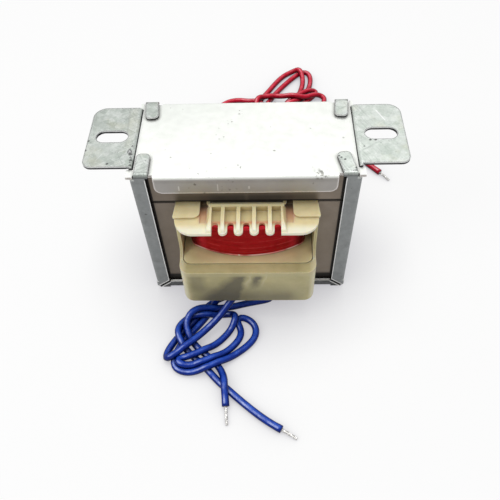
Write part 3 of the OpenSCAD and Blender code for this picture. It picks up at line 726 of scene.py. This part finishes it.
def zinc_foot_tops(f, up):
    """The feet's outline, with a painted highlight along it and dark at the very edge, their single marks and
    the beads that stand on the left one.
    """
    top = f.every(up, f.above(f.z, FOOT_TOP - 0.1, 0.1))
    border = f.rubbed(1.0, 8)
    # Painted highlight: a bright rim along the feet's edges.
    f.paint(f.every(top, f.band(border, 0.12, 0.55, 0.1)), 0.88, share=0.5)
    f.paint(f.every(top, f.above(border, 0.6, 0.1)), 0.05, share=0.7)
    f.paint(f.every(top, f.strokes(FROM_ABOVE, CREASE)), 0.22, share=0.2)
    bead = f.above(f.z, FOOT_TOP + 0.02, 0.02)
    f.paint(bead, 0.2, share=0.6)
    f.paint(f.every(top, f.strokes(FROM_ABOVE, LIGHT_SCRATCH)), 0.9, share=0.7)
    f.paint(f.every(up, f.strokes(FROM_ABOVE, DARK_MARKS)), 0.04, share=0.8)


def zinc_sheared_edges(f):
    """Raw dark edges where the sheet was cut, with a painted highlight along the top of them."""
    upright = f.outside(f.above(f.size_of(f.nz), 0.5, 0.2))
    foot_edge = f.every(upright, f.above(f.ax, WALL_X + 0.9), f.above(f.z, PLATE_TOP - 0.3))
    tab_edge = f.every(upright, f.above(f.z, PLATE_TOP + 0.05, 0.05), f.below(f.ay, LIP_Y - 0.6),
                       f.below(f.ax, WALL_X + 0.6))
    sideways = f.above(f.size_of(f.nx), 0.8)
    lip_edge = f.every(sideways, f.below(f.ax, WALL_X - 1.3), f.band(f.z, 0.6, PLATE_TOP))
    f.paint(f.some(foot_edge, tab_edge, lip_edge), (0.012, 0.012, 0.013), share=0.93)
    # Painted highlight along the top of the cut edges.
    lit_edge_top = f.every(upright, f.above(f.z, FOOT_TOP - 0.3, 0.1), f.some(foot_edge, tab_edge))
    f.paint(lit_edge_top, 0.85, share=0.75)


def zinc_lips(f):
    """The lips' rims, the low lip's top edge and the mitres' edges painted bright as highlights, the dark low
    lip and the open mitres; hands back where the painted highlights are.
    """
    face = f.every(f.above(f.size_of(f.ny), 0.7), f.above(f.ay, FACE_Y + 0.15))
    past_mitre = f.weaken(f.calc("SUBTRACT", f.ax, MITRE_X), math.sin(MITRE_SLOPE))
    above_mitre = f.calc("MULTIPLY_ADD", f.z, math.cos(MITRE_SLOPE), past_mitre)
    corner = f.every(f.above(f.ay, FACE_Y - 0.05), f.below(f.z, LOW_LIP + 1.2),
                     f.band(f.ax, LIP_IN - 0.4, WALL_X))
    lip_rim = f.every(face, f.below(f.ax, LIP_IN + 0.25, 0.1), f.above(above_mitre, 0.3),
                      f.band(f.z, 0, PLATE_TOP - 1))
    low_face = f.every(face, f.below(f.z, LOW_LIP), f.below(above_mitre, 0))
    low_edge = f.every(f.above(f.nz, 0.6), f.above(f.ay, FACE_Y + 0.05), f.band(f.z, 1.5, 9))
    f.paint(f.every(low_face, f.uneven(0.9, 0.5, 0.9)), 0.04)
    # Painted highlights on the lips' rims, the low lip's top edge and the mitres' edges.
    bright = f.some(lip_rim, low_edge, f.every(corner, f.band(above_mitre, -0.8, 0.85, 0.1)))
    f.paint(bright, 1.0, share=0.9)
    f.paint(f.every(corner, f.band(above_mitre, -0.42, 0.5, 0.1)), 0.006)
    return bright


def zinc_sheet():
    """Hot-dipped sheet: mottled feet painted pale and lips painted duller for how the light falls, painted
    highlights, and raw sheared edges.
    """
    f = Finish("zinc_sheet", Metallic=0.75, Specular_IOR_Level=0.5)
    up = f.above(f.nz, 0.45, 0.5)
    zinc_ground(f, up)
    zinc_scratches(f, up)
    zinc_wear(f)
    zinc_foot_tops(f, up)
    zinc_sheared_edges(f)
    bright = zinc_lips(f)
    # The painted highlights are not metal, so that they stay bright.
    f.feed("Metallic", f.swing(bright, 0.75, 0.0))
    return f.done(f.uneven(0.5, 0.36, 0.52), f.uneven(1.8), depth=0.05, strength=0.35)


# ---------- the plate and the core ----------

def plate_ground(f, up):
    """Near white on top, darker to the back on the left, and painted warm grey down the flanges as painted
    shade.
    """
    f.ground(0.12, (0.86, 0.885, 0.835), (0.91, 0.92, 0.885))
    far_left = f.every(f.below(f.x, -8, 30), f.above(f.y, 6, 18))
    f.paint(far_left, (0.74, 0.775, 0.735), share=0.5)
    # Painted shade: the flanges, which face sideways, get a warm grey.
    grey = f.over(f.uneven(0.12), (0.33, 0.312, 0.292), (0.37, 0.352, 0.332))
    f.base = f.over(up, grey, f.base)


def plate_edges(f, up):
    """The flanges' painted shade under the fold, nicks, rims painted bright as highlights, painted shade in
    the corners and painted highlights along the edges.
    """
    flange = f.above(f.size_of(f.ny), 0.7)
    under_fold = f.band(f.z, PLATE_TOP - 2.2, PLATE_TOP - 0.9, 0.8)
    # Painted shade on the flanges under the fold.
    f.shade(f.every(flange, under_fold, f.uneven(0.3, 0.3, 1.0)), 0.6, share=0.4)
    f.paint(f.every(flange, f.strokes(FROM_FRONT, FLANGE_NICKS)), 0.72, share=0.5)
    # Painted highlight along the flanges' rims.
    f.paint(f.every(flange, f.rubbed(0.9, 8)), (0.80, 0.74, 0.70), share=0.85)
    # Painted shade round the tabs and in the corners.
    f.paint(f.every(up, f.nooks(1.2, 1.6)), (0.07, 0.065, 0.055), share=0.8)
    # Painted highlight along the edges.
    f.paint(f.rubbed(0.55, 3), 0.85, share=0.8)


def worn_spots(f):
    """Where the plating is worn through: the first patch thickly, the others thinly, and a few specks."""
    patches = [f.every(f.band(f.x, x - r, x + r, r), f.band(f.y, y - r, y + r, r))
               for x, y, r in WORN_PATCHES]
    thick = f.every(f.above(f.nz, 0.1), f.specked(0.85, 0.62, 0.9), patches[0])
    thin = f.every(f.specked(0.9, 0.42, 0.45), f.some(*patches[1:]))
    return f.some(thick, thin, f.weaken(f.specked(0.5, 0.16, 0.1), 0.6))


def bright_plate():
    """Bright-plated sheet, worn through in spots."""
    f = Finish("bright_plate", Metallic=0.6)
    up = f.above(f.nz, 0.45, 0.5)
    plate_ground(f, up)
    plate_edges(f, up)
    spots = worn_spots(f)
    f.paint(spots, (0.10, 0.095, 0.08), share=0.8)
    return f.done(f.uneven(0.4, 0.3, 0.42), f.some(f.uneven(1.2), spots), depth=0.03, strength=0.3)


def core_sheet(name, tint):
    """Silicon steel, varnished grey-brown, with painted shade by the bracket's lips and above the low lip,
    dark at the joint, and painted shade behind the comb.
    """
    f = Finish(name, Metallic=0.3, Specular_IOR_Level=0.12)
    f.ground(0.1, [v * tint for v in (0.178, 0.146, 0.116)], [v * tint for v in (0.212, 0.178, 0.146)])
    f.shade(f.band(f.x, 20, 40, 4), 1.18)
    f.shade(f.uneven(2.4), 0.7, share=0.15)
    # Painted shade beside the lips and above the low lip; the joint is a real dark gap.
    by_lips = f.band(f.ax, LIP_IN - 0.7, LIP_IN + 9, 0.3)
    by_low_lip = f.below(f.z, 6.6, 1.2)
    joint = f.every(f.above(f.size_of(f.ny), 0.5), f.band(f.z, JOINT_Z - 0.55, JOINT_Z + 0.55, 0.25))
    f.paint(f.some(by_lips, by_low_lip, joint), 0.006, share=0.94)
    # Painted shade behind the comb.
    behind_comb = f.every(f.band(f.ax, 0, BOBBIN_X - 0.8, 2), f.band(f.z, JOINT_Z - 0.9, JOINT_Z + 3.4, 2.6))
    f.paint(behind_comb, 0.03, share=0.55)
    return f.done(f.uneven(0.7, 0.34, 0.46), f.uneven(1.1), depth=0.02, strength=0.2)


# ---------- mouldings ----------

def nylon(name, pale, deep):
    """Moulded natural nylon: creamy, a little see-through, with painted shade in its corners and painted
    highlights along its edges and over the seam.
    """
    f = Finish(name, Subsurface_Weight=0.35, Subsurface_Radius=(0.0016, 0.0011, 0.0005),
               Subsurface_Scale=1.0, Specular_IOR_Level=0.3)
    f.ground(0.14, pale, deep)
    seam = f.every(f.band(f.z, SEAM_LOW, SEAM_HIGH), f.above(f.ay, 19))
    # Painted shade in the corners, weaker at the seam.
    f.paint(f.every(f.nooks(2.5, 1.0), f.swing(seam, 0.75, 0.15)), (0.24, 0.17, 0.065))
    # Painted highlight over the seam's groove.
    f.paint(f.every(seam, f.nooks(0.8, 2.5)), (0.88, 0.80, 0.50))
    # Painted highlight along the edges.
    f.paint(f.rubbed(0.5, 2.5), (0.92, 0.88, 0.66), share=0.6)
    return f


def bobbin_nylon():
    """The bobbin's nylon: pale comb tips, painted shade in the pockets beside the leg and red tape glowing
    through.
    """
    f = nylon("bobbin_nylon", (0.84, 0.735, 0.44), (0.73, 0.62, 0.34))
    tips = f.every(f.above(f.ay, 24.6, 2), f.above(f.z, COMB_FOOT + 0.5))
    f.paint(tips, (0.97, 0.95, 0.80), share=0.7)
    pocket = f.every(f.band(f.ax, LEG_X - 0.2, LEG_X + 3.6, 0.8),
                     f.band(f.z, COMB_FOOT, COMB_FOOT + 2.9, 0.4))
    # Painted shade in the pockets, close to the core.
    f.paint(f.every(pocket, f.below(f.ay, 18.4, 3.4)), (0.07, 0.042, 0.03), share=0.85)
    web = f.every(pocket, f.band(f.ay, 17.4, 22.6, 3))
    slots = f.every(f.band(f.ax, 0, LEG_X + 1, 1.2), f.band(f.ay, 22.6, 23.6, 0.9),
                    f.band(f.z, COMB_FOOT, COMB_FOOT + 3.1, 0.6))
    f.paint(f.some(f.weaken(web, 0.7), slots), (0.66, 0.17, 0.11), share=0.6)
    f.paint(f.specked(0.5, 0.08, 0.05), (0.2, 0.12, 0.06), share=0.5)
    shelf = f.every(f.band(f.z, 20, 30), f.above(f.ay, 24.2, 3))
    f.paint(shelf, (0.78, 0.68, 0.38), share=0.4)
    return f.done(f.uneven(0.6, 0.3, 0.42), f.uneven(0.9), depth=0.03, strength=0.2)


def shroud_inner_shade(f, front):
    """Painted shade of what lies inside the shell: dark patches that run down and outwards from the shroud's
    rim, with pale lines between them.
    """
    down = f.calc("SUBTRACT", SHROUD_RIM, f.z)
    sway = f.uneven(0.35, -0.5, 0.5)
    spread = f.calc("ADD", f.calc("MULTIPLY_ADD", down, 0.8, f.x), sway)
    upright = f.calc("ADD", f.calc("MULTIPLY_ADD", down, 0.18, f.x), sway)
    main_shade = f.every(f.above(spread, -4.6, 5), f.below(upright, -0.9, 1.4))
    right_shade = f.every(f.band(upright, 1.9, 4.4, 1.5), f.above(f.z, SHROUD_RIM - 5.5, 5))
    left_shade = f.weaken(f.every(f.band(f.x, -19, -14, 2.6), f.above(f.z, SHROUD_RIM - 8, 4)), 0.55)
    dark_patches = f.some(main_shade, right_shade, left_shade)
    # Painted shade: the dark patches on the shroud's front.
    f.paint(f.every(front, dark_patches, f.band(f.z, 8, SHROUD_RIM + 0.2, 1.6)), (0.085, 0.08, 0.064), share=0.74)
    lines = f.some(f.band(upright, 0.2, 0.9, 0.5), f.band(upright, 5.4, 5.9, 0.5))
    pale_lines = f.every(front, lines, f.band(f.z, SHROUD_RIM - 5.5, SHROUD_RIM + 1, 3))
    f.paint(pale_lines, (0.66, 0.62, 0.42), share=0.4)


def shroud_nylon():
    """The shroud's nylon: deeper in colour, with painted shade in front, darker towards the bottom, and
    painted highlights at its corners and its rim.
    """
    f = nylon("shroud_nylon", (0.60, 0.535, 0.285), (0.47, 0.42, 0.215))
    front = f.below(f.y, SHROUD_LOW[1] + 0.6, 0.5)
    shroud_inner_shade(f, front)
    low = f.every(front, f.band(f.z, 5, 19, 9), f.band(f.x, -17, 17, 8))
    f.paint(low, (0.115, 0.102, 0.066), share=0.7)
    # Painted highlights on the rounded corners.
    corners = f.every(f.above(f.ax, SHROUD_HIGH[0] - 1.6, 1.4), f.above(f.ay, 24, 2))
    f.paint(corners, (0.86, 0.80, 0.58), share=0.5)
    # Painted highlight along the rim.
    rim = f.every(f.band(f.size_of(f.ny), 0.35, 0.98, 0.2), f.band(f.z, SHROUD_RIM, SHROUD_RIM + 4, 0.6))
    f.paint(rim, (0.62, 0.56, 0.36), share=0.5)
    return f.done(f.uneven(0.6, 0.3, 0.44), f.uneven(0.7), depth=0.04, strength=0.2)


# ---------- windings ----------

def tape_foot(f):
    """The painted highlight along the tape's foot, with its painted glints."""
    foot_line = f.band(f.z, TAPE_LOW + 0.05, TAPE_LOW + 0.65, 0.3)
    f.paint(f.every(foot_line, f.uneven(0.2, 0.2, 1.4)), (1.0, 0.36, 0.33))
    glints = f.some(f.band(f.x, -16.2, -13.6, 1), f.band(f.x, 0.6, 6.5, 1.6), f.band(f.x, 12.4, 16, 1))
    f.paint(f.every(foot_line, glints), (1.0, 0.74, 0.70), share=0.8)


def glossy_tape():
    """Red polyester tape, wound in turns whose edges carry fine painted highlights, with painted highlights
    on its bends and its head, painted shade on its ends and in its corners, and one nick at its foot.
    """
    f = Finish("glossy_tape", Specular_IOR_Level=0.04)
    f.ground(0.3, (0.38, 0.003, 0.006), (0.50, 0.010, 0.014))
    stretched = vector(f.tree, "MULTIPLY", f.point, (0.05, 0.05, 0.8))
    ripple = f.effect(UNEVEN, Point=stretched, Scale=1.0, Low=0.0, High=1.0)
    f.paint(ripple, (0.22, 0.001, 0.003), share=0.45)
    # Painted highlights along the edges of the turns.
    gleam = f.every(f.above(f.uneven(0.22), 0.5, 0.3), f.band(f.ax, 0, TAPE_BEND - 0.1, 2))
    streaks = f.some(*(f.band(f.z, low, low + width, soft) for low, width, soft in LIT_TURN_EDGES))
    f.paint(f.every(streaks, gleam), (0.80, 0.09, 0.09), share=0.3)
    # Painted highlight where the bowed face bends back.
    f.paint(f.band(f.ax, TAPE_BEND - 2.4, TAPE_BEND + 0.2, 1.4), (0.66, 0.03, 0.05), share=0.4)
    # Painted shade on the ends, which turn away.
    f.paint(f.above(f.ax, TAPE_BEND, 2.4), (0.05, 0.001, 0.002), share=0.75)
    # Painted shade in the corners.
    f.paint(f.nooks(1.6, 1.2), (0.06, 0.001, 0.002), share=0.7)
    tape_foot(f)
    # Painted highlight on the tape's head in the slots.
    head = f.every(f.above(f.z, 41.4, 0.6), f.band(f.ax, 0, LEG_X + 0.4))
    f.paint(head, (0.85, 0.03, 0.05), share=0.7)
    nick = f.every(f.band(f.z, TAPE_LOW - 1, TAPE_LOW + 0.7), f.band(f.x, -3.0, -2.5, 0.3))
    f.paint(nick, (1.0, 0.85, 0.75))
    return f.done(f.uneven(0.8, 0.1, 0.24), ripple, depth=0.6, strength=0.6)


def winding_wire():
    """Enamelled copper in close turns, red where the tape folds over its top."""
    f = Finish("winding_wire", Metallic=0.6)
    wave = put(f.tree, "ShaderNodeTexWave", {"Vector": f.point, "Scale": 1.6}, bands_direction="Z")
    turns = wave.outputs["Fac"]
    f.base = f.over(turns, (0.20, 0.05, 0.015), (0.62, 0.24, 0.08))
    f.paint(f.above(f.z, 42.0, 0.2), (0.42, 0.008, 0.014))
    return f.done(f.uneven(1.0, 0.25, 0.4), turns, depth=0.1, strength=0.6)


def inner_wrap():
    """Amber film round the lower winding."""
    f = Finish("inner_wrap", Coat_Weight=0.3)
    f.ground(0.3, (0.55, 0.42, 0.12), (0.66, 0.52, 0.18))
    return f.done(f.uneven(0.8, 0.2, 0.35), f.uneven(0.5), depth=0.1, strength=0.4)


# ---------- leads' finishes ----------

def pvc(name, deep, clear, lit_top, gleam):
    """Soft PVC sleeve with a painted highlight on top, painted shade underneath, where leads meet and towards
    its outline, and a painted gleam along its upper side.
    """
    f = Finish(name, Specular_IOR_Level=0.14)
    f.ground(0.25, deep, clear)
    # Painted highlight on the top.
    f.paint(f.every(f.above(f.nz, 0.86, 0.2), f.uneven(0.3, 0.1, 0.7)), lit_top)
    # Painted shade underneath and where leads meet.
    below = f.outside(f.above(f.nz, 0.4, 1.0))
    f.paint(f.some(below, f.nooks(2.4, 1.2)), [0.15 * v for v in clear], share=0.88)
    # Painted shade towards the outline, where the surface turns away.
    turned_off = put(f.tree, "ShaderNodeLayerWeight", {"Blend": 0.5}).outputs["Facing"]
    f.paint(f.above(turned_off, 0.6, 0.4), [0.1 * v for v in clear], share=0.7)
    # Painted highlight along the side that faces the overhead lamp.
    to_lamp = f.calc("MULTIPLY_ADD", f.ny, -0.3, f.weaken(f.nx, -0.25))
    to_lamp = f.calc("MULTIPLY_ADD", f.nz, 0.92, to_lamp)
    f.paint(f.every(f.above(to_lamp, 0.965, 0.04), f.uneven(0.35, -0.1, 1.0)), gleam)
    return f.done(f.uneven(0.9, 0.2, 0.34), f.uneven(1.4), depth=0.04, strength=0.25)


def tinned():
    """Twisted strands, dipped in tin."""
    f = Finish("tinned_strands", Metallic=0.9)
    f.ground(1.4, (0.40, 0.39, 0.37), (0.82, 0.81, 0.79))
    # Painted shade between the strands.
    f.paint(f.nooks(0.5, 1.6), (0.06, 0.055, 0.05), share=0.8)
    f.paint(f.specked(1.6, 0.3, 0.2), (0.08, 0.07, 0.06), share=0.7)
    return f.done(f.uneven(1.8, 0.22, 0.4), f.uneven(2.2), depth=0.15, strength=0.6)


# ---------- every piece gets its finish ----------

ZINC = zinc_sheet()
WIRE = winding_wire()
TIN = tinned()
SLEEVES = {
    "blue": pvc("blue_sleeve", deep=(0.001, 0.014, 0.20), clear=(0.004, 0.045, 0.42),
                lit_top=(0.06, 0.16, 0.72), gleam=(0.42, 0.50, 0.86)),
    "red": pvc("red_sleeve", deep=(0.46, 0.002, 0.018), clear=(0.70, 0.010, 0.045),
               lit_top=(0.95, 0.15, 0.20), gleam=(1.0, 0.46, 0.50)),
}
CAD_FINISHES = {
    "bracket": ZINC,
    "clamp_plate": bright_plate(),
    "e_laminations": core_sheet("e_sheet", 1.18),
    "i_laminations": core_sheet("i_sheet", 1.2),
    "bobbin": bobbin_nylon(),
    "shroud": shroud_nylon(),
    "primary_tape": glossy_tape(),
    "primary_winding": WIRE,
    "secondary_winding": WIRE,
    "secondary_tape": inner_wrap(),
}
for node, finish in CAD_FINISHES.items():
    for material_slot in bpy.data.objects[node].material_slots:
        material_slot.material = finish
for piece in bpy.data.objects:
    if piece.name.endswith("_sleeve"):
        piece.data.materials.append(SLEEVES[piece.name.split("_")[0]])
    if "_tinned_" in piece.name:
        piece.data.materials.append(TIN)

# ---------- spilt zinc ----------

# How deep a bead sits in the foot's top, and how far its outline strays
BEAD_SUNK = 0.06
BEAD_STRAY = 0.12


def bead_points(x, y, across, along, high, rings, sides):
    """Rings of points up an uneven dome, the last one its top, in metres."""
    foot = FOOT_TOP - BEAD_SUNK
    points = []
    for r in range(rings):
        lift = r / rings * math.pi / 2
        for a in round_angles(sides):
            out = math.cos(lift) * (1 + BEAD_STRAY * math.sin(3 * a + x))
            points.append((x + across * out * math.cos(a), y + along * out * math.sin(a),
                           foot + high * math.sin(lift)))
    points.append((x, y, foot + high))
    return [tuple(v * MM for v in point) for point in points]


def beads(name, humps, rings=4, sides=14):
    """Low uneven beads standing on a foot's top, as one mesh."""
    verts, faces = [], []
    for hump in humps:
        start = len(verts)
        verts += bead_points(*hump, rings, sides)
        top = len(verts) - 1
        last = top - sides
        faces += skin(rings, sides, start)
        faces += [(last + s, last + (s + 1) % sides, top) for s in range(sides)]
        faces.append(tuple(start + s for s in range(sides))[::-1])
    made = add_mesh(name, verts, faces)
    made.data.materials.append(ZINC)


beads("left_foot_zinc_beads", ZINC_BEADS)

# ---------- floor and light ----------

PALE = (0.95, 0.95, 0.95, 1)
WHITE = (1, 1, 1, 1)
# The tint of the shade that lies close round the object
CLOSE_SHADE = (0.42, 0.41, 0.46, 1)
# How far that shade and the floor reach, in metres
CLOSE_REACH = 0.03
FLOOR_REACH = 3


def looked_at(tree):
    """One for what the camera sees straight, in metal or through glass."""
    seen = put(tree, "ShaderNodeLightPath").outputs
    straight = calc(tree, "MAXIMUM", seen["Is Camera Ray"], seen["Is Glossy Ray"])
    return calc(tree, "MAXIMUM", straight, seen["Is Transmission Ray"])


def pale_paper():
    """Paper that looks white, and still takes the object's shadow."""
    paper = bpy.data.materials.new("pale_paper")
    paper.use_nodes = True
    tree = paper.node_tree
    tree.nodes.clear()
    lit = put(tree, "ShaderNodeBsdfDiffuse", {"Color": PALE})
    close = put(tree, "ShaderNodeAmbientOcclusion", {"Distance": CLOSE_REACH}, samples=16)
    shaded = blend(tree, close.outputs["AO"], CLOSE_SHADE, WHITE)
    glow = put(tree, "ShaderNodeEmission", {"Color": shaded, "Strength": 1.0})
    share = calc(tree, "MULTIPLY", looked_at(tree), 0.8)
    mixed = put(tree, "ShaderNodeMixShader", {0: share, 1: lit.outputs[0], 2: glow.outputs[0]})
    put(tree, "ShaderNodeOutputMaterial", {"Surface": mixed.outputs[0]})
    return paper


def studio_floor():
    """A wide floor under the object."""
    reach = FLOOR_REACH
    floor = bpy.data.objects.new("floor", bpy.data.meshes.new("floor"))
    corners = [(-reach, -reach, 0), (reach, -reach, 0), (reach, reach, 0), (-reach, reach, 0)]
    floor.data.from_pydata(corners, [], [(0, 1, 2, 3)])
    floor.data.materials.append(pale_paper())
    scene.collection.objects.link(floor)


def studio_world():
    """White where it is looked at, and a dimmer light on the object."""
    world = bpy.data.worlds.new("studio")
    scene.world = world
    world.use_nodes = True
    tree = world.node_tree
    tree.nodes.clear()
    dim = put(tree, "ShaderNodeBackground", {"Color": WHITE, "Strength": 0.4})
    full = put(tree, "ShaderNodeBackground", {"Color": WHITE, "Strength": 1.0})
    mixed = put(tree, "ShaderNodeMixShader", {0: looked_at(tree), 1: dim.outputs[0], 2: full.outputs[0]})
    put(tree, "ShaderNodeOutputWorld", {"Surface": mixed.outputs[0]})


def softbox(name, place, target, across, power):
    """A square studio lamp aimed at a point, places in metres."""
    lamp = bpy.data.objects.new(name, bpy.data.lights.new(name, "AREA"))
    lamp.data.energy = power
    lamp.data.size = across
    lamp.location = place
    lamp.rotation_euler = (Vector(target) - Vector(place)).to_track_quat("-Z", "Y").to_euler()
    scene.collection.objects.link(lamp)


studio_floor()
studio_world()
OBJECT_MIDDLE = (0, 0, 0.03)
softbox("overhead", (0.0, 0.1, 0.8), OBJECT_MIDDLE, 0.5, 3.1)
softbox("left_fill", (-0.5, -0.3, 0.55), OBJECT_MIDDLE, 0.3, 1.2)

scene.view_settings.view_transform = "Standard"
